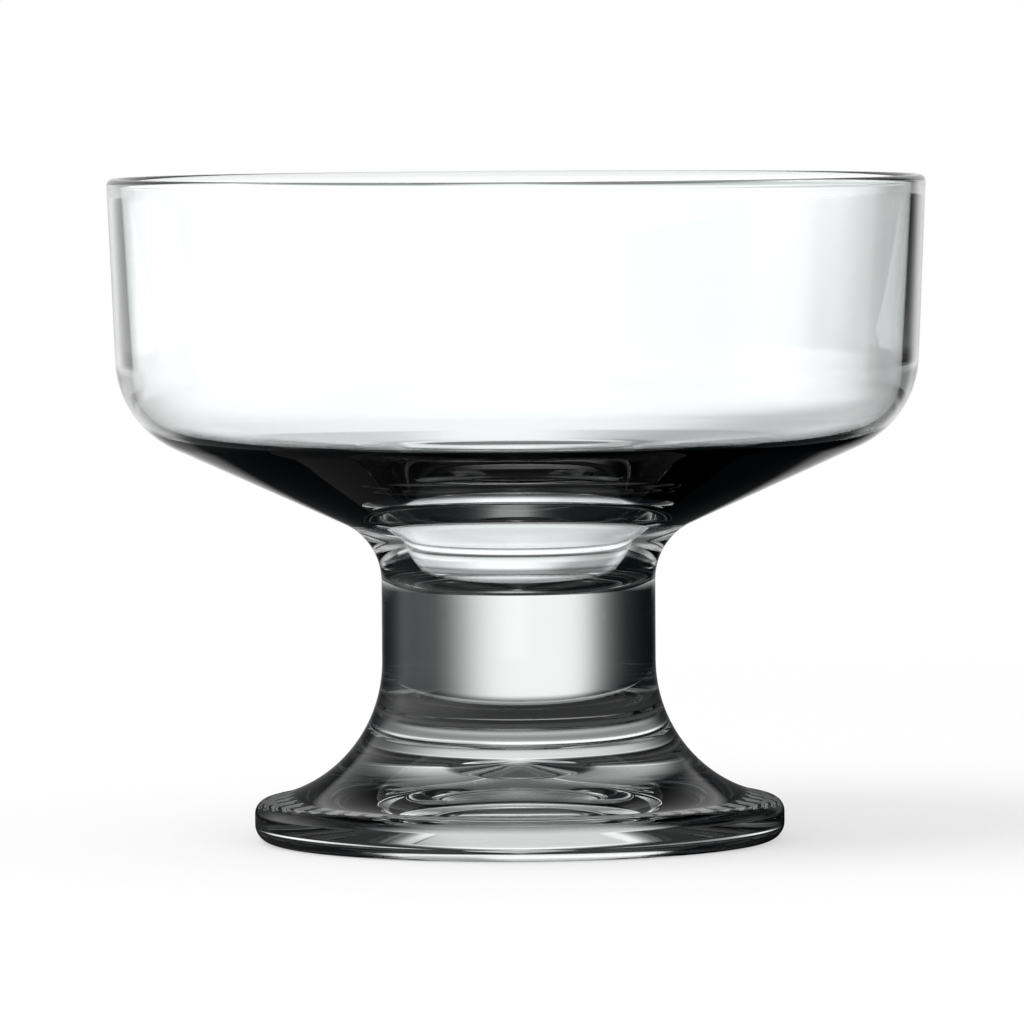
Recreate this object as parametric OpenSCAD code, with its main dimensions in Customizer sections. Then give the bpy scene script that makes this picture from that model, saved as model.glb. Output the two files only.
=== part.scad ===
// Parfait glass: a wide, low bowl on a short, thick stem and a round foot.
// Clear glass, turned about the Z axis. The foot's flat ring stands on the plane z = 0.
// The pieces are made hot and fused, so each one meets the next face to face.

/* [Bowl] */
// Height of the whole glass, from the table to the top of the rim
glass_h = 82.9; // [76:0.1:92]
// Outside diameter at the rim
rim_d = 102; // [94:0.5:112]
// Thickness of the fire-polished rim
rim_t = 1.8; // [1.2:0.1:2.4]
// Thickness of the upright wall at the rim
wall_t = 1.7; // [1.2:0.1:2.4]
// Thickness that the upright wall grows to at the heel
heel_t = 2.1; // [1.4:0.1:2.8]
// Outside diameter where the wall's line meets the underside's line
heel_d = 99.5; // [92:0.5:104]
// Height of that meeting
heel_z = 52.4; // [50:0.1:53.6]
// Rounding of the heel on the outside
heel_round = 12.5; // [6:0.5:14]
// Height of the inside corner between the wall and the sloping floor
floor_z = 52.8; // [51.6:0.1:54]
// Rounding of the heel on the inside
floor_round = 9.2; // [7:0.2:10]
// Diameter at which the sloping floor grows flatter
floor_turn_d = 64.8; // [60:0.2:70]
// Height of the floor there
floor_turn_z = 47.3; // [46.8:0.1:48]
// Rounding of that turn
floor_turn_round = 20; // [10:1:40]
// Rounding between the underside and the stem
hip_round = 8; // [4:0.2:9]

/* [Well] */
// Diameter at the top of the well, where the floor turns down
well_d = 31.4; // [29:0.2:34]
// Height of the floor at the top of the well
well_z = 43.7; // [43:0.1:44.4]
// Rounding at the top of the well
well_round = 6.8; // [3:0.1:10]
// Diameter where the well's wall turns in towards its floor
knee_d = 23.4; // [22:0.2:25]
// Height of that turn
knee_z = 32.1; // [31.8:0.1:33]
// Rounding of that turn
knee_round = 5; // [2:0.2:7]
// Diameter of the well's flat floor
well_floor_d = 16.4; // [12:0.2:18]
// Height of the well's floor at its edge
well_floor_z = 31.2; // [30.8:0.1:31.5]
// Rounding of the well's floor edge
well_floor_round = 3.6; // [1:0.2:6]
// How far the middle of the well's floor lies under its edge
well_dish = 0.1; // [0:0.1:0.8]

/* [Stem] */
// Diameter of the stem
stem_d = 34.2; // [28:0.2:38]
// Height of the seam between the bowl and the stem
stem_top_z = 28.5; // [27:0.5:29.5]
// Height of the seam between the stem and the foot
stem_foot_z = 12.4; // [10:0.2:16]
// Height at which the underside's line meets the stem's line
hip_z = 37.6; // [36:0.1:40]

/* [Foot] */
// Outside diameter of the foot
foot_d = 66.2; // [60:0.2:74]
// Height of the foot's edge
foot_edge_h = 5; // [3.6:0.1:6]
// Rise of the foot's top from its edge to the stem's line
foot_rise = 2.8; // [2:0.1:4]
// Rounding of the edge's upper corner
edge_round = 1.8; // [0.8:0.1:2.2]
// Rounding of the edge's lower corner
foot_corner_round = 2.2; // [0.8:0.1:2.4]
// Radius of the flare between the foot and the stem
flare_round = 17.5; // [10:0.5:18]
// Width of the flat ring that the glass stands on, with the corner's rounding
stand_w = 5.9; // [4:0.1:7]
// Width of the bevel between the flat ring and the hollow
bevel_w = 0.9; // [0.4:0.1:1.6]
// Height that the bevel rises to
bevel_h = 0.6; // [0.2:0.1:1]
// Rounding between the bevel and the hollow's roof
bevel_round = 4.6; // [1:0.2:6]
// Diameter at which the hollow's roof turns up into the dimple
dimple_d = 12.6; // [8:0.2:20]
// Height of the roof there
dimple_z = 3.1; // [2:0.1:3.6]
// Rounding of that turn
dimple_round = 7.9; // [2:0.1:12]
// Height of the middle of the hollow
hollow_h = 4.9; // [3.6:0.1:5.6]

/* [Knurls] */
// Number of small mould knurls, which cross the inner part of the flat ring
knurl_count = 54; // [36:1:60]
// Width of one knurl
knurl_w = 1.8; // [1:0.1:2]
// Depth of one knurl
knurl_depth = 0.5; // [0.2:0.1:0.6]
// Length of one knurl, from the flat ring's inner edge outwards
knurl_l = 2.2; // [1.2:0.1:2.6]

/* [Hidden] */
$fn = 128;
arc_steps = 10;

rim_r = rim_d / 2;
heel_r = heel_d / 2;
stem_r = stem_d / 2;
foot_r = foot_d / 2;
stand_in_r = foot_r - stand_w;
rim_bead_z = glass_h - rim_t / 2;
knurl_r = (knurl_w * knurl_w / 4 + knurl_depth * knurl_depth) / (2 * knurl_depth);

glass = "#dfe6e6";

// Direction of a vector, with a length of one
function unit(v) = v / norm(v);

// Corner of a closed outline by its number, which may run past either end
function corner(outline, i) = let (p = outline[(i + len(outline)) % len(outline)]) [p[0], p[1]];

// Rounding asked for at a corner
function rounding(outline, i) = outline[(i + len(outline)) % len(outline)][2];

// Half the angle between the two edges that meet at a corner
function half_angle(outline, i) =
    let (here = corner(outline, i))
    let (back = unit(corner(outline, i - 1) - here))
    let (ahead = unit(corner(outline, i + 1) - here))
    acos(max(-1, min(1, back * ahead))) / 2;

// How far from its corner the asked rounding starts
function reach(outline, i) = rounding(outline, i) / tan(half_angle(outline, i));

// Share of an edge's wish that the edge has room for, when both its ends are rounded
function room_share(outline, i) =
    let (wish = reach(outline, i) + reach(outline, i + 1))
    wish > 0 ? min(1, norm(corner(outline, i + 1) - corner(outline, i)) / wish) : 1;

// Points of the arc that rounds one corner, or the corner itself where it is sharp
function rounded_corner(outline, i) =
    let (here = corner(outline, i))
    let (fit_share = min(room_share(outline, i - 1), room_share(outline, i)))
    let (radius = rounding(outline, i) * fit_share)
    radius <= 0 ? [here] :
    let (back = unit(corner(outline, i - 1) - here))
    let (ahead = unit(corner(outline, i + 1) - here))
    let (half = half_angle(outline, i))
    let (centre = here + unit(back + ahead) * radius / sin(half))
    let (from = here + back * radius / tan(half) - centre)
    let (to = here + ahead * radius / tan(half) - centre)
    let (sweep = 180 - 2 * half)
    [for (k = [0:arc_steps])
        let (t = k / arc_steps)
        centre + (from * sin(sweep * (1 - t)) + to * sin(sweep * t)) / sin(sweep)];

// Closed outline with each corner rounded, from rows of radius, height and rounding
function rounded(outline) = [for (i = [0:len(outline) - 1]) each rounded_corner(outline, i)];

// Half section of the glass from the axis: underside, outside, rim, inside and back to the axis
glass_outline = [
    [0, hollow_h, 0],
    [dimple_d / 2, dimple_z, dimple_round],
    [stand_in_r - bevel_w, bevel_h, bevel_round],
    [stand_in_r, 0, 0],
    [foot_r, 0, foot_corner_round],
    [foot_r, foot_edge_h, edge_round],
    [stem_r, foot_edge_h + foot_rise, flare_round],
    [stem_r, hip_z, hip_round],
    [heel_r, heel_z, heel_round],
    [rim_r, rim_bead_z, 0],
    [rim_r, glass_h, rim_t / 2],
    [rim_r - rim_t, glass_h, rim_t / 2],
    [rim_r - wall_t, rim_bead_z, 0],
    [heel_r - heel_t, floor_z, floor_round],
    [floor_turn_d / 2, floor_turn_z, floor_turn_round],
    [well_d / 2, well_z, well_round],
    [knee_d / 2, knee_z, knee_round],
    [well_floor_d / 2, well_floor_z, well_floor_round],
    [0, well_floor_z - well_dish, 0]
];

// The part of the turned glass between two heights
module turned_between(low, high) {
    rotate_extrude()
        intersection() {
            polygon(rounded(glass_outline));
            translate([0, low])
                square([rim_d, high - low]);
        }
}

// Round-bottomed grooves that run outwards from the hollow, cut from below
module knurls() {
    for (i = [0:knurl_count - 1])
        rotate([0, 0, i * 360 / knurl_count])
            translate([stand_in_r - knurl_w, 0, knurl_depth - knurl_r])
                rotate([0, 90, 0])
                    cylinder(h = knurl_w + knurl_l, r = knurl_r);
}

module bowl() {
    color(glass)
        turned_between(stem_top_z, glass_h);
}

module stem() {
    color(glass)
        turned_between(stem_foot_z, stem_top_z);
}

module foot() {
    color(glass)
        difference() {
            turned_between(0, stem_foot_z);
            knurls();
        }
}

bowl();
stem();
foot();
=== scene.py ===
"""Clear parfait glass on a pale studio floor: three pieces of turned glass, their light and the camera."""
import math

import bmesh
import bpy
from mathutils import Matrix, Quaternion, Vector


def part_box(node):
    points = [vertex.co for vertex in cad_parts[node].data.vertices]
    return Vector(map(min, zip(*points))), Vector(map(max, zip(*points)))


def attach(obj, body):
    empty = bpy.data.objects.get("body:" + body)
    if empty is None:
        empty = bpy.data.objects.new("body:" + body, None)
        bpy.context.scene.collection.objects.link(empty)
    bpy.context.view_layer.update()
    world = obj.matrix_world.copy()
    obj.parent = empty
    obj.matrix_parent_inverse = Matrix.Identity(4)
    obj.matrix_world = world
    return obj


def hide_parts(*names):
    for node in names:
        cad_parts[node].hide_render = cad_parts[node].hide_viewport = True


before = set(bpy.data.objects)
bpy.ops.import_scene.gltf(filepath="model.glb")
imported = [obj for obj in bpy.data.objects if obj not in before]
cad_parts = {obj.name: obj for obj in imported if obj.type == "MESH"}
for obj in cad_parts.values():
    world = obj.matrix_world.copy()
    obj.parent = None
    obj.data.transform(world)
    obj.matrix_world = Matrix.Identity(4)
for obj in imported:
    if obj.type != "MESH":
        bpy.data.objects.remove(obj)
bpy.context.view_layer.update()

MM = 0.001
PICTURE_PX = 1024
WHITE = (1, 1, 1, 1)

# Sizes are in millimetres, unless a comment says otherwise. In their names R is a distance from the axis,
# Z and H are heights, T is a thickness, W a width, L a length and ROUND the radius of a rounded corner

# Sizes of the glass that the frame gives
bowl_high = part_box("bowl")[1]
stem_low, stem_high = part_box("stem")
foot_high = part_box("foot")[1]
RIM_R = bowl_high.x / MM
GLASS_H = bowl_high.z / MM
FOOT_R = foot_high.x / MM
STEM_TOP_Z = stem_high.z / MM
STEM_FOOT_Z = stem_low.z / MM

# The rim's round bead and the wall below it
RIM_T = 1.8
RIM_BEAD_Z = GLASS_H - RIM_T / 2
WALL_T = 1.7

# The heel, where the wall turns in below, and its thickness
HEEL_R = 49.75
HEEL_Z = 52.4
HEEL_ROUND = 12.5
HEEL_T = 2.1

# The bowl's sloping floor: where it leaves the heel, and where its slope eases towards the well
FLOOR_Z = 52.8
FLOOR_ROUND = 9.2
FLOOR_TURN_R = 32.4
FLOOR_TURN_Z = 47.3
FLOOR_TURN_ROUND = 20

# The well: its lip, the knee low in its side, and its bottom, which is a little lower in the middle
WELL_R = 15.7
WELL_Z = 43.7
WELL_ROUND = 6.8
KNEE_R = 11.7
KNEE_Z = 32.1
KNEE_ROUND = 5
WELL_FLOOR_R = 8.2
WELL_FLOOR_Z = 31.2
WELL_FLOOR_ROUND = 3.6
WELL_DISH = 0.1

# The stem, and where it spreads into the bowl
STEM_R = 17.1
HIP_Z = 37.6
HIP_ROUND = 8

# The foot's edge, and its top, which rises to the stem
FOOT_EDGE_H = 5
FOOT_CORNER_ROUND = 2.2
EDGE_ROUND = 1.8
FOOT_RISE = 2.8
FLARE_ROUND = 17.5

# The foot's underside: the flat ring that it stands on, the bevel inside the ring, and the hollow with
# a dimple at its top
STAND_W = 5.9
STAND_IN_R = FOOT_R - STAND_W
BEVEL_W = 0.9
BEVEL_H = 0.6
BEVEL_ROUND = 4.6
DIMPLE_R = 6.3
DIMPLE_Z = 3.1
DIMPLE_ROUND = 7.9
HOLLOW_H = 4.9

# The small mould knurls in the flat ring, and the shares of their rounded end at which the outline has
# a point
KNURL_COUNT = 54
KNURL_W = 1.8
KNURL_DEPTH = 0.5
KNURL_L = 2.2
KNURL_END = 0.6
KNURL_END_STEPS = (0, 0.25, 0.5, 0.75, 1)

# How finely the outline and the turning are drawn
DEGREES_PER_STEP = 2.5
FEWEST_ARC_STEPS = 2
LONGEST_EDGE = 2.0
BOWL_STEPS = 256
STEM_STEPS = 192
FOOT_STEPS = 432

# How near two points are one point, and how far from a height still counts as at it
MERGE_DISTANCE = 0.0005
SEAM_TOLERANCE = 0.001
CUT_TOLERANCE = 1e-6

# Which of a piece's two materials its faces take: the glass's own surface, or a fused seam
SURFACE_SLOT = 0
SEAM_SLOT = 1

# Soda-lime glass: how much it bends light, and the slow waves in its fire-polished surface
GLASS_IOR = 1.52
WAVE_W = 16
WAVE_H = 0.008
WAVE_DETAIL = 1.0
WAVE_ROUGHNESS = 0.4

# Where the photograph was taken from, and where the axis point it looks at falls in the picture
CAMERA_DISTANCE = 1115
CAMERA_HEIGHT = 98.6
AIM_Z = 41
AIM_PX = (518, 512)
PX_PER_MM = 8.01
ROLL_DEG = 0.35
SENSOR = 36

# The nearest and furthest that the camera sees, in metres
CAMERA_CLIP = (0.05, 20)

# The lamp's width and place in metres, and its power in watts
KEY_SIZE = 0.9
KEY_PLACE = (-0.5, -0.4, 1.1)
KEY_POWER = 6.0

# The studio's angles are in degrees round the axis, from straight behind the glass and more to the
# right. Its levels are light, where 1 is white. A pair of sizes or angles is where a soft change starts
# and where it ends. The windows, the shade and the gaps repeat on four sides, a quarter turn apart
QUARTER = 90
WINDOW_POWER = 4.0
DARK_LEVEL = 0.03

# Past these depths of Light Path a ray has been mirrored, and has gone through more than one wall
MIRRORED_DEPTH = 0.5
ONE_WALL_DEPTH = 2.5

# The floor as the camera sees it, and the room's even light on it
FLOOR_SIZE = 6000
FLOOR_GLOW = 0.5
WHITE_FLOOR_R = (120, 420)
AMBIENT_LEVEL = 0.75

# What straight rays see through the glass: the lit cloth with its shade, the elevations in degrees over
# which it dims, and the painted shade on the floor near the foot
BACKDROP_LEVEL = 1.25
SHADE_CENTRE = 16
SHADE_HALF = 9.7
SHADE_POWER = 8.0
SHADE_DEPTH = 0.57
CLOTH_TOP = (-1, 38)
CLOTH_ABOVE_LEVEL = 0.5
UNDER_FOOT_R = (38, 50)
UNDER_FOOT_LEVEL = 0.25
NEAR_FOOT_R = (58, 110)
NEAR_FOOT_LEVEL = 0.35

# What rays see that were mirrored inside one wall: bright windows painted as light on the floor, and low in
# the room. TOP is an elevation in degrees, HALF half a window's width, and LEVELS are between windows and in
# one
WINDOW_CENTRE = -2
BENT_FLOOR_R = (20, 160)
BENT_FLOOR_HALF = 28
BENT_FLOOR_LEVEL = 1.2
FAR_FLOOR_R = (400, 900)
FAR_FLOOR_CENTRE = -3.6
FAR_FLOOR_HALF = 19
FAR_FLOOR_POWER = 4.5
BENT_SKY_TOP = (-8, 80)
BENT_SKY_HALF = 28
BENT_SKY_LEVELS = (0.09, 0.87)

# The same for rays that were mirrored inside and went through several walls
THICK_FLOOR_R = (20, 240)
THICK_FLOOR_LEVEL = 1.4
THICK_SKY_TOP = (0, 80)
THICK_SKY_HALF = 14
THICK_SKY_LEVELS = (0.13, 1.2)

# The bright card on the left, as rays that were mirrored inside see it, in the room's light and painted as
# light on the floor. TOP is an elevation in degrees
SIDE_CARD_EDGES = (-80, -66, -46, -36)
SIDE_CARD_FLOOR_R = (300, 600)
SIDE_CARD_TOP = (3, 8)
LEFT_CARD_LEVEL = 0.95

# What the glass's own surface mirrors, in the room's light and as a painted reflection on the floor. TOP is
# an elevation in degrees
LEFT_CARD_EDGE = (-38, -26)
BEHIND_LEVEL = 0.8
RIGHT_DARK_EDGE = (22, 34)
FRONT_DARK_EDGE = (-176, -120)
MIRRORED_FLOOR_R = (20, 420)
MIRRORED_TOP = (10, 48)

# Two rings of black flags round the stem and foot. GAP is a gap's centre and half its width, TOP_FADE
# the heights over which the cloth ends, and SHARES how dark each kind of ray sees it
FAR_FLAG_R = 58
FAR_FLAG_H = 40
FAR_FLAG_TOP_FADE = (32, 39)
FAR_FLAG_GAP = (-2.4, 10.8)
FAR_FLAG_SHARES = {"straight": 0.0, "bent": 0.9, "thick": 0.4, "mirrored": 1.0}
NEAR_FLAG_R = 36
NEAR_FLAG_H = 34
NEAR_FLAG_TOP_FADE = (29, 32)
NEAR_FLAG_GAP = (-1.8, 6.8)
NEAR_FLAG_SHARES = {"straight": 1.0, "bent": 1.0, "thick": 0.0, "mirrored": 0.0}
RING_SEGMENTS = 96

# The glass's own surface mirrors the flags lower, and with wider gaps
FLAG_MIRRORED_DROP = 6
FLAG_MIRRORED_HALF = 20


def linear(hex_colour):
    """An sRGB hex colour as the linear red, green, blue and alpha that Blender's sockets take."""
    levels = [int(hex_colour[i : i + 2], 16) / 255 for i in (1, 3, 5)]
    return tuple(v / 12.92 if v <= 0.04045 else ((v + 0.055) / 1.055) ** 2.4 for v in levels) + (1,)


def add_node(tree, kind, inputs=None, **settings):
    """Adds a node. inputs maps a socket's name or number to a value, or to the output that feeds it.

    A node given in place of an output stands for its first output.
    """
    made = tree.nodes.new(kind)
    for name, value in settings.items():
        setattr(made, name, value)
    for key, value in (inputs or {}).items():
        if isinstance(value, bpy.types.Node):
            value = value.outputs[0]
        if isinstance(value, bpy.types.NodeSocket):
            tree.links.new(value, made.inputs[key])
        else:
            made.inputs[key].default_value = value
    return made


def fresh_material(name):
    """A new material with nothing in its node tree, and the tree."""
    material = bpy.data.materials.new(name)
    material.use_nodes = True
    material.node_tree.nodes.clear()
    return material, material.node_tree


def add_object(name, data):
    """Adds an object to the scene."""
    made = bpy.data.objects.new(name, data)
    bpy.context.scene.collection.objects.link(made)
    return made


def finished(name, bm, materials):
    """Turns a bmesh into an object with its materials, and frees the bmesh."""
    mesh = bpy.data.meshes.new(name)
    bm.to_mesh(mesh)
    bm.free()
    for material in materials:
        mesh.materials.append(material)
    return add_object(name, mesh)


def corner_ways(points, i):
    """The directions from a corner of the outline back to the point before it and ahead to the next."""
    return [(points[k] - points[i]).normalized() for k in (i - 1, i + 1)]


def arc(centre, start, end, sweep):
    """Points along an arc. start and end are its ends as seen from its centre, sweep its angle."""
    steps = max(FEWEST_ARC_STEPS, math.ceil(math.degrees(sweep) / DEGREES_PER_STEP))
    drawn = []
    for k in range(steps + 1):
        t = k / steps
        way = start * math.sin(sweep * (1 - t)) + end * math.sin(sweep * t)
        drawn.append(centre + way / math.sin(sweep))
    return drawn


def rounded(outline):
    """The outline's points, with each corner turned into an arc that fits its edges."""
    points = [Vector(row[:2]) for row in outline]
    last = len(points) - 1
    halves = [None] * len(points)
    reaches = [0.0] * len(points)
    for i in range(1, last):
        if outline[i][2] > 0:
            back, ahead = corner_ways(points, i)
            halves[i] = math.acos(back.dot(ahead)) / 2
            reaches[i] = outline[i][2] / math.tan(halves[i])
    room = []
    for i in range(last):
        wish = reaches[i] + reaches[i + 1]
        room.append(min(1, (points[i + 1] - points[i]).length / wish) if wish else 1)
    drawn = [points[0]]
    for i in range(1, last):
        if not reaches[i]:
            drawn.append(points[i])
            continue
        radius = outline[i][2] * min(room[i - 1], room[i])
        back, ahead = corner_ways(points, i)
        centre = points[i] + (back + ahead).normalized() * radius / math.sin(halves[i])
        start = points[i] + back * radius / math.tan(halves[i]) - centre
        end = points[i] + ahead * radius / math.tan(halves[i]) - centre
        drawn += arc(centre, start, end, math.pi - 2 * halves[i])
    drawn.append(points[last])
    return drawn


def cut_at(points, height):
    """The points, with one more wherever the outline crosses a height."""
    made = [points[0]]
    for before, after in zip(points, points[1:]):
        if (before.y - height) * (after.y - height) < 0:
            made.append(before.lerp(after, (height - before.y) / (after.y - before.y)))
        made.append(after)
    return made


def stretch(points, low, high):
    """The run of outline points that lies between two heights."""
    return [p for p in points if low - CUT_TOLERANCE <= p.y <= high + CUT_TOLERANCE]


def turned(name, outline, steps, materials, seam_heights):
    """A closed solid of revolution. Its outline starts and ends on the axis."""
    points = []
    for before, after in zip(outline, outline[1:]):
        pieces = max(1, math.ceil((after - before).length / LONGEST_EDGE))
        points += [before.lerp(after, k / pieces) for k in range(pieces)]
    points.append(outline[-1])
    bm = bmesh.new()
    verts = [bm.verts.new((p.x * MM, 0, p.y * MM)) for p in points]
    edges = [bm.edges.new(pair) for pair in zip(verts, verts[1:])]
    bmesh.ops.spin(
        bm,
        geom=verts + edges,
        cent=(0, 0, 0),
        axis=(0, 0, 1),
        angle=math.tau,
        steps=steps,
        use_merge=True,
        use_duplicate=False,
    )
    bmesh.ops.remove_doubles(bm, verts=bm.verts, dist=MERGE_DISTANCE * MM)
    bmesh.ops.recalc_face_normals(bm, faces=bm.faces)
    for face in bm.faces:
        face.smooth = True
        at_seam = [all(abs(v.co.z / MM - z) < SEAM_TOLERANCE for v in face.verts) for z in seam_heights]
        face.material_index = SEAM_SLOT if any(at_seam) else SURFACE_SLOT
    for edge in bm.edges:
        if len({face.material_index for face in edge.link_faces}) > 1:
            edge.smooth = False
    return finished(name, bm, materials)


def press_knurls(piece):
    """Raises round-bottomed grooves across the inner part of the flat ring, evenly spaced round the foot."""
    groove_r = (KNURL_W**2 / 4 + KNURL_DEPTH**2) / (2 * KNURL_DEPTH)
    for vert in piece.data.vertices:
        place = vert.co / MM
        distance = math.hypot(place.x, place.y)
        along = distance - STAND_IN_R
        if place.z > KNURL_DEPTH or not -KNURL_W < along < KNURL_L:
            continue
        turn = math.atan2(place.y, place.x) / math.tau * KNURL_COUNT
        across = abs(turn - round(turn)) * math.tau / KNURL_COUNT * distance
        if across < KNURL_W / 2:
            height = math.sqrt(groove_r**2 - across**2) - groove_r + KNURL_DEPTH
            end = min(1, (KNURL_L - along) / KNURL_END)
            lifted = height * math.sin(end * math.pi / 2)
            vert.co.z = max(place.z, lifted) * MM


def soda_lime_glass():
    """Clear soda-lime glass, pressed and fire-polished. The fire leaves it smooth, with slow, low waves."""
    material, tree = fresh_material("soda_lime_glass")
    wave_inputs = {
        "Vector": add_node(tree, "ShaderNodeTexCoord").outputs["Object"],
        "Scale": 1 / (WAVE_W * MM),
        "Detail": WAVE_DETAIL,
        "Roughness": WAVE_ROUGHNESS,
    }
    waves = add_node(tree, "ShaderNodeTexNoise", wave_inputs).outputs["Fac"]
    bump = add_node(tree, "ShaderNodeBump", {"Height": waves, "Strength": 1.0, "Distance": WAVE_H * MM})
    glass_inputs = {
        "Base Color": linear("#fbfdfd"),
        "Roughness": 0.0,
        "IOR": GLASS_IOR,
        "Transmission Weight": 1.0,
        "Normal": bump,
    }
    clear = add_node(tree, "ShaderNodeBsdfPrincipled", glass_inputs)
    add_node(tree, "ShaderNodeOutputMaterial", {"Surface": clear})
    return material


def fused_seam():
    """Where two hot bodies of glass have fused. Light goes straight through, so the seam can't be seen."""
    material, tree = fresh_material("fused_seam")
    clear = add_node(tree, "ShaderNodeBsdfTransparent", {"Color": WHITE})
    add_node(tree, "ShaderNodeOutputMaterial", {"Surface": clear})
    return material


def ray_kinds(tree):
    """Light Path's outputs, then 1 for rays mirrored at least once, and 1 for rays through many walls."""
    path = add_node(tree, "ShaderNodeLightPath").outputs
    kinds = []
    for name, depth in (("Glossy Depth", MIRRORED_DEPTH), ("Transmission Depth", ONE_WALL_DEPTH)):
        kinds.append(add_node(tree, "ShaderNodeMath", {0: path[name], 1: depth}, operation="GREATER_THAN"))
    return path, *kinds


def by_ray(tree, level, *choices):
    """A level, and in its place the level of each later choice for the rays that the choice is about."""
    for kind, chosen in choices:
        level = add_node(tree, "ShaderNodeMix", {0: kind, 2: level, 3: chosen}, data_type="FLOAT")
    return level


def product(tree, *levels):
    """All the levels multiplied."""
    made = levels[0]
    for level in levels[1:]:
        made = add_node(tree, "ShaderNodeMath", {0: made, 1: level}, operation="MULTIPLY")
    return made


def soft_change(tree, value, edges, levels):
    """A soft change from the first level, up to the first edge, to the second, from the second edge on."""
    inputs = {
        "Value": value,
        "From Min": edges[0],
        "From Max": edges[1],
        "To Min": levels[0],
        "To Max": levels[1],
    }
    return add_node(tree, "ShaderNodeMapRange", inputs, interpolation_type="SMOOTHSTEP")


def change_in_mm(tree, metres, edges, levels):
    """A soft change of level between two distances or heights in millimetres."""
    return soft_change(tree, metres, [edge * MM for edge in edges], levels)


def change_with_elevation(tree, rise, edges, levels):
    """A soft change of level between two elevations in degrees. rise is the sine of the elevation."""
    return soft_change(tree, rise, [math.sin(math.radians(edge)) for edge in edges], levels)


def angle_round(tree, way):
    """Degrees round the axis from straight behind the glass, more to the right."""
    axes = add_node(tree, "ShaderNodeSeparateXYZ", {0: way}).outputs
    turn = add_node(tree, "ShaderNodeMath", {0: axes["X"], 1: axes["Y"]}, operation="ARCTAN2")
    return add_node(tree, "ShaderNodeMath", {0: turn}, operation="DEGREES")


def soft_window(tree, angle, centre, half, power):
    """1 near the centre and on each quarter turn from it, falling softly to half at the half width."""
    off = add_node(tree, "ShaderNodeMath", {0: angle, 1: centre}, operation="SUBTRACT")
    off = add_node(tree, "ShaderNodeMath", {0: off, 1: QUARTER / 2, 2: -QUARTER / 2}, operation="WRAP")
    share = add_node(tree, "ShaderNodeMath", {0: off, 1: half}, operation="DIVIDE")
    share = add_node(tree, "ShaderNodeMath", {0: share}, operation="ABSOLUTE")
    share = add_node(tree, "ShaderNodeMath", {0: share, 1: power}, operation="POWER")
    share = add_node(tree, "ShaderNodeMath", {0: share, 1: 1.0}, operation="ADD")
    return add_node(tree, "ShaderNodeMath", {0: 1.0, 1: share}, operation="DIVIDE")


def sky_window(tree, rise, angle, edges, half, levels):
    """A bright window low in the room on each of four sides, over a darker level."""
    between, inside = levels
    low = change_with_elevation(tree, rise, edges, (inside - between, 0.0))
    window = product(tree, low, soft_window(tree, angle, WINDOW_CENTRE, half, WINDOW_POWER))
    return add_node(tree, "ShaderNodeMath", {0: window, 1: between}, operation="ADD")


def backdrop_level(tree, angle):
    """The lit cloth behind the glass, shaded to the right of its middle, and the same on all four sides."""
    shade = soft_window(tree, angle, SHADE_CENTRE, SHADE_HALF, SHADE_POWER)
    inputs = {0: shade, 1: -SHADE_DEPTH, 2: BACKDROP_LEVEL}
    return add_node(tree, "ShaderNodeMath", inputs, operation="MULTIPLY_ADD")


def side_card(tree, angle):
    """A soft-edged bright card on the left, seen only by rays that were mirrored inside the glass."""
    far_edge, far_full, near_full, near_edge = SIDE_CARD_EDGES
    rising = soft_change(tree, angle, (far_edge, far_full), (0.0, 1.0))
    falling = soft_change(tree, angle, (near_full, near_edge), (LEFT_CARD_LEVEL, 0.0))
    return product(tree, rising, falling)


def mirrored_room(tree, angle):
    """What the glass's own surface mirrors: bright on the left, pale behind, dark right and in front."""
    left = soft_change(tree, angle, LEFT_CARD_EDGE, (LEFT_CARD_LEVEL, BEHIND_LEVEL))
    right = soft_change(tree, angle, RIGHT_DARK_EDGE, (1.0, DARK_LEVEL))
    front = soft_change(tree, angle, FRONT_DARK_EDGE, (DARK_LEVEL, 1.0))
    return product(tree, left, right, front)


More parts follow.
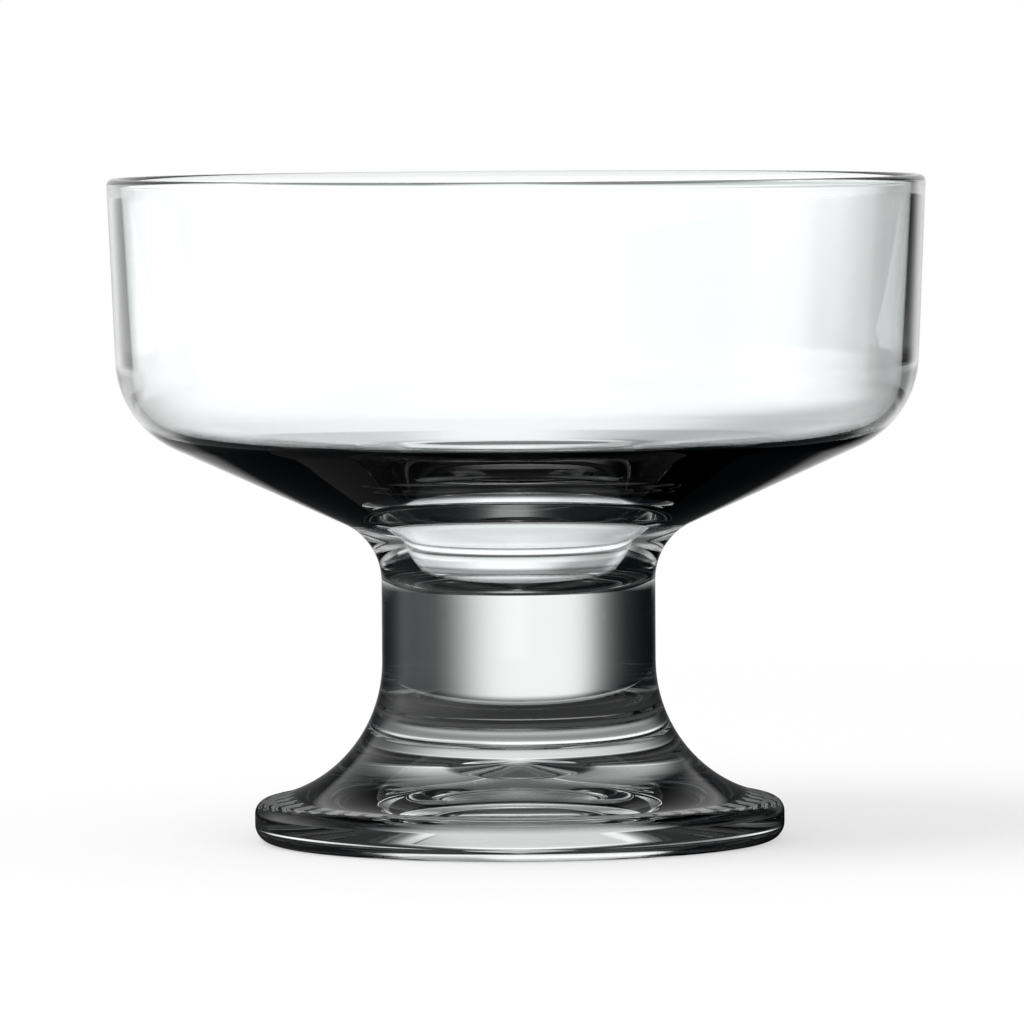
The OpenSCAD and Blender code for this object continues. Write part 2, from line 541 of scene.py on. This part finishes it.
def pale_floor():
    """Matt white paper. The camera sees it lit, with the glass's shadow, and plain white further out.

    The glass sees painted light and shade on it instead: an emitted level for each kind of ray, dark near
    the foot and pale further out.
    """
    material, tree = fresh_material("white_paper_and_painted_light")
    material.cycles.emission_sampling = "NONE"
    path, bounced, many = ray_kinds(tree)
    place = add_node(tree, "ShaderNodeTexCoord").outputs["Object"]
    distance = add_node(tree, "ShaderNodeVectorMath", {0: place}, operation="LENGTH").outputs["Value"]
    angle = angle_round(tree, place)

    # Straight rays: painted shade, dark under the foot, or through many walls dark near it and shaded as the
    # cloth is
    under_foot = change_in_mm(tree, distance, UNDER_FOOT_R, (UNDER_FOOT_LEVEL, 1.0))
    near_foot = change_in_mm(tree, distance, NEAR_FOOT_R, (NEAR_FOOT_LEVEL, 1.0))
    straight = by_ray(tree, under_foot, (many, product(tree, near_foot, backdrop_level(tree, angle))))

    # Rays mirrored inside one wall: painted light, bright windows on four sides, narrower far out
    windows = soft_window(tree, angle, WINDOW_CENTRE, BENT_FLOOR_HALF, WINDOW_POWER)
    far_windows = soft_window(tree, angle, FAR_FLOOR_CENTRE, FAR_FLOOR_HALF, FAR_FLOOR_POWER)
    nearby = change_in_mm(tree, distance, FAR_FLOOR_R, (1.0, 0.0))
    narrowing = add_node(tree, "ShaderNodeMath", {0: far_windows, 1: nearby}, operation="MAXIMUM")
    thin = change_in_mm(tree, distance, BENT_FLOOR_R, (DARK_LEVEL, BENT_FLOOR_LEVEL))
    thin = product(tree, thin, windows, narrowing)

    # Rays mirrored inside and through many walls: pale all round. Both kinds see the card on the left,
    # painted as light on the floor
    thick = change_in_mm(tree, distance, THICK_FLOOR_R, (DARK_LEVEL, THICK_FLOOR_LEVEL))
    outer = change_in_mm(tree, distance, SIDE_CARD_FLOOR_R, (0.0, 1.0))
    card = product(tree, outer, side_card(tree, angle))
    bent = by_ray(tree, thin, (many, thick))
    bent = add_node(tree, "ShaderNodeMath", {0: bent, 1: card}, operation="MAXIMUM")

    # Rays mirrored by the glass's own surface: a painted reflection of the room on the floor
    sheen = change_in_mm(tree, distance, MIRRORED_FLOOR_R, (DARK_LEVEL, 1.0))
    mirrored = product(tree, sheen, mirrored_room(tree, angle))
    through = by_ray(tree, straight, (bounced, bent))
    painted_light_level = by_ray(tree, mirrored, (path["Is Transmission Ray"], through))

    paper = add_node(tree, "ShaderNodeBsdfDiffuse", {"Color": linear("#bcbcbc")})
    glow = add_node(tree, "ShaderNodeEmission", {"Strength": FLOOR_GLOW})
    lit_paper = add_node(tree, "ShaderNodeAddShader", {0: paper, 1: glow})
    white = add_node(tree, "ShaderNodeEmission", {"Strength": 1.0})
    further = change_in_mm(tree, distance, WHITE_FLOOR_R, (0.0, 1.0))
    to_camera = add_node(tree, "ShaderNodeMixShader", {0: further, 1: lit_paper, 2: white})
    from_glass = add_node(
        tree,
        "ShaderNodeMath",
        {0: path["Is Transmission Ray"], 1: path["Is Glossy Ray"]},
        operation="MAXIMUM",
    )
    # The glass sees this emitted level of painted light and shade, not the lit paper
    painted_light_to_glass = add_node(tree, "ShaderNodeEmission", {"Strength": painted_light_level})
    to_others = add_node(tree, "ShaderNodeMixShader", {0: from_glass, 1: paper, 2: painted_light_to_glass})
    both = add_node(tree, "ShaderNodeMixShader", {0: path["Is Camera Ray"], 1: to_others, 2: to_camera})
    add_node(tree, "ShaderNodeOutputMaterial", {"Surface": both})
    return material


def flag_cloth(name, gap, top_fade, shares):
    """Black cloth with a soft-edged gap on each of four sides. shares is how dark a kind of ray sees it."""
    material, tree = fresh_material(name)
    material.cycles.emission_sampling = "NONE"
    path, bounced, many = ray_kinds(tree)
    by_surface = add_node(
        tree,
        "ShaderNodeMath",
        {0: path["Is Glossy Ray"], 1: path["Is Transmission Ray"]},
        operation="GREATER_THAN",
    )
    place = add_node(tree, "ShaderNodeTexCoord").outputs["Object"]
    angle = angle_round(tree, place)

    # Where the cloth is: outside the gaps and below its top
    centre, half = gap
    opening = soft_window(tree, angle, centre, half, WINDOW_POWER)
    wider = soft_window(tree, angle, centre, FLAG_MIRRORED_HALF, WINDOW_POWER)
    opening = by_ray(tree, opening, (by_surface, wider))
    height = add_node(tree, "ShaderNodeSeparateXYZ", {0: place}).outputs["Z"]
    height = add_node(
        tree,
        "ShaderNodeMath",
        {0: by_surface, 1: FLAG_MIRRORED_DROP * MM, 2: height},
        operation="MULTIPLY_ADD",
    )
    above = change_in_mm(tree, height, top_fade, (0.0, 1.0))
    uncovered = add_node(tree, "ShaderNodeMath", {0: opening, 1: above}, operation="MAXIMUM")
    covered = add_node(tree, "ShaderNodeMath", {0: 1.0, 1: uncovered}, operation="SUBTRACT")

    share = by_ray(
        tree,
        shares["straight"],
        (bounced, shares["bent"]),
        (many, shares["thick"]),
        (by_surface, shares["mirrored"]),
    )
    cloth = add_node(tree, "ShaderNodeEmission", {"Color": linear("#0c1114"), "Strength": 1.0})
    clear = add_node(tree, "ShaderNodeBsdfTransparent", {"Color": WHITE})
    both = add_node(tree, "ShaderNodeMixShader", {0: product(tree, covered, share), 1: clear, 2: cloth})
    add_node(tree, "ShaderNodeOutputMaterial", {"Surface": both})
    return material


def studio_room():
    """White to the camera and evenly pale to the floor. The glass sees a level for each kind of ray."""
    world = bpy.data.worlds.new("studio")
    world.use_nodes = True
    tree = world.node_tree
    tree.nodes.clear()
    path, bounced, many = ray_kinds(tree)
    way = add_node(tree, "ShaderNodeTexCoord").outputs["Generated"]
    rise = add_node(tree, "ShaderNodeSeparateXYZ", {0: way}).outputs["Z"]
    angle = angle_round(tree, way)

    # Straight rays: the lit cloth, dimmer higher up
    cloth = change_with_elevation(tree, rise, CLOTH_TOP, (1.0, CLOTH_ABOVE_LEVEL))
    straight = product(tree, cloth, backdrop_level(tree, angle))

    # Rays mirrored inside the glass: bright windows on four sides, and the card low on the left
    thin = sky_window(tree, rise, angle, BENT_SKY_TOP, BENT_SKY_HALF, BENT_SKY_LEVELS)
    thick = sky_window(tree, rise, angle, THICK_SKY_TOP, THICK_SKY_HALF, THICK_SKY_LEVELS)
    card_top = change_with_elevation(tree, rise, SIDE_CARD_TOP, (1.0, 0.0))
    card = product(tree, side_card(tree, angle), card_top)
    bent = by_ray(tree, thin, (many, thick))
    bent = add_node(tree, "ShaderNodeMath", {0: bent, 1: card}, operation="MAXIMUM")
    through = by_ray(tree, straight, (bounced, bent))

    # Rays mirrored by the glass's own surface
    mirrored = change_with_elevation(tree, rise, MIRRORED_TOP, (1.0, DARK_LEVEL))
    mirrored = product(tree, mirrored, mirrored_room(tree, angle))
    level = by_ray(
        tree,
        AMBIENT_LEVEL,
        (path["Is Camera Ray"], 1.0),
        (path["Is Glossy Ray"], mirrored),
        (path["Is Transmission Ray"], through),
    )
    room = add_node(tree, "ShaderNodeBackground", {"Color": WHITE, "Strength": level})
    add_node(tree, "ShaderNodeOutputWorld", {"Surface": room})
    return world


def stage_piece(name, bm, material):
    """A finished piece of the studio, which is no part of the glass."""
    piece = finished(name, bm, [material])
    return piece


def ring_of_flags(name, radius, height, material):
    """An upright ring of cloth on the floor, which only the glass sees."""
    bm = bmesh.new()
    bmesh.ops.create_cone(
        bm,
        cap_ends=False,
        segments=RING_SEGMENTS,
        radius1=radius * MM,
        radius2=radius * MM,
        depth=height * MM,
    )
    bmesh.ops.translate(bm, verts=bm.verts, vec=(0, 0, height / 2 * MM))
    flags = stage_piece(name, bm, material)
    flags.visible_camera = False
    flags.visible_diffuse = False
    flags.visible_shadow = False
    flags.visible_volume_scatter = False


# The glass's outline, from the top of the hollow under the foot round the outside and over the rim to
# the bottom of the well. Each row is a distance from the axis, a height and a corner's radius
knurl_end_rs = [STAND_IN_R + KNURL_L - KNURL_END * (1 - step) for step in KNURL_END_STEPS]
glass_outline = rounded(
    [
        (0, HOLLOW_H, 0),
        (DIMPLE_R, DIMPLE_Z, DIMPLE_ROUND),
        (STAND_IN_R - BEVEL_W, BEVEL_H, BEVEL_ROUND),
        (STAND_IN_R, 0, 0),
        *[(end_r, 0, 0) for end_r in knurl_end_rs],
        (FOOT_R, 0, FOOT_CORNER_ROUND),
        (FOOT_R, FOOT_EDGE_H, EDGE_ROUND),
        (STEM_R, FOOT_EDGE_H + FOOT_RISE, FLARE_ROUND),
        (STEM_R, HIP_Z, HIP_ROUND),
        (HEEL_R, HEEL_Z, HEEL_ROUND),
        (RIM_R, RIM_BEAD_Z, 0),
        (RIM_R, GLASS_H, RIM_T / 2),
        (RIM_R - RIM_T, GLASS_H, RIM_T / 2),
        (RIM_R - WALL_T, RIM_BEAD_Z, 0),
        (HEEL_R - HEEL_T, FLOOR_Z, FLOOR_ROUND),
        (FLOOR_TURN_R, FLOOR_TURN_Z, FLOOR_TURN_ROUND),
        (WELL_R, WELL_Z, WELL_ROUND),
        (KNEE_R, KNEE_Z, KNEE_ROUND),
        (WELL_FLOOR_R, WELL_FLOOR_Z, WELL_FLOOR_ROUND),
        (0, WELL_FLOOR_Z - WELL_DISH, 0),
    ]
)

# The three pieces, cut from the outline at the two seams
outline = cut_at(cut_at(glass_outline, STEM_FOOT_Z), STEM_TOP_Z)
foot_axis = Vector((0, STEM_FOOT_Z))
bowl_axis = Vector((0, STEM_TOP_Z))
bowl_line = [bowl_axis] + stretch(outline, STEM_TOP_Z, GLASS_H)
stem_line = [foot_axis] + stretch(outline, STEM_FOOT_Z, STEM_TOP_Z) + [bowl_axis]
foot_line = stretch(outline, 0, STEM_FOOT_Z) + [foot_axis]
materials = (soda_lime_glass(), fused_seam())
parts = {
    "bowl": turned("clear_bowl", bowl_line, BOWL_STEPS, materials, [STEM_TOP_Z]),
    "stem": turned("clear_stem", stem_line, STEM_STEPS, materials, [STEM_FOOT_Z, STEM_TOP_Z]),
    "foot": turned("clear_foot", foot_line, FOOT_STEPS, materials, [STEM_FOOT_Z]),
}
press_knurls(parts["foot"])
for node, piece in parts.items():
    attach(piece, "root")
    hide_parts(node)

# The camera, rolled a little as the photograph was
to_aim = Vector((0, CAMERA_DISTANCE, AIM_Z - CAMERA_HEIGHT))
camera_data = bpy.data.cameras.new("camera")
camera_data.sensor_width = SENSOR
camera_data.lens = PX_PER_MM * to_aim.length * SENSOR / PICTURE_PX
camera_data.shift_x = (PICTURE_PX / 2 - AIM_PX[0]) / PICTURE_PX
camera_data.shift_y = (AIM_PX[1] - PICTURE_PX / 2) / PICTURE_PX
camera_data.clip_start, camera_data.clip_end = CAMERA_CLIP
camera = add_object("camera", camera_data)
camera.location = Vector((0, -CAMERA_DISTANCE, CAMERA_HEIGHT)) * MM
camera.rotation_mode = "QUATERNION"
roll = Quaternion((0, 0, 1), math.radians(-ROLL_DEG))
camera.rotation_quaternion = to_aim.to_track_quat("-Z", "Y") @ roll
bpy.context.scene.camera = camera

# The studio's floor and flags
floor_bm = bmesh.new()
bmesh.ops.create_grid(floor_bm, x_segments=1, y_segments=1, size=FLOOR_SIZE / 2 * MM)
stage_piece("floor", floor_bm, pale_floor())
far_cloth = flag_cloth("far_flag", FAR_FLAG_GAP, FAR_FLAG_TOP_FADE, FAR_FLAG_SHARES)
ring_of_flags("far_flags", FAR_FLAG_R, FAR_FLAG_H, far_cloth)
near_cloth = flag_cloth("near_flag", NEAR_FLAG_GAP, NEAR_FLAG_TOP_FADE, NEAR_FLAG_SHARES)
ring_of_flags("near_flags", NEAR_FLAG_R, NEAR_FLAG_H, near_cloth)

# Soft light from above, for the floor and the shadow on it
key_data = bpy.data.lights.new("soft_key", "AREA")
key_data.shape = "DISK"
key_data.size = KEY_SIZE
key_data.energy = KEY_POWER
key = add_object("soft_key", key_data)
key.location = KEY_PLACE
key.rotation_mode = "QUATERNION"
key.rotation_quaternion = (-key.location).to_track_quat("-Z", "Y")
key.visible_glossy = False
key.visible_transmission = False

bpy.context.scene.world = studio_room()
bpy.context.scene.view_settings.view_transform = "Standard"
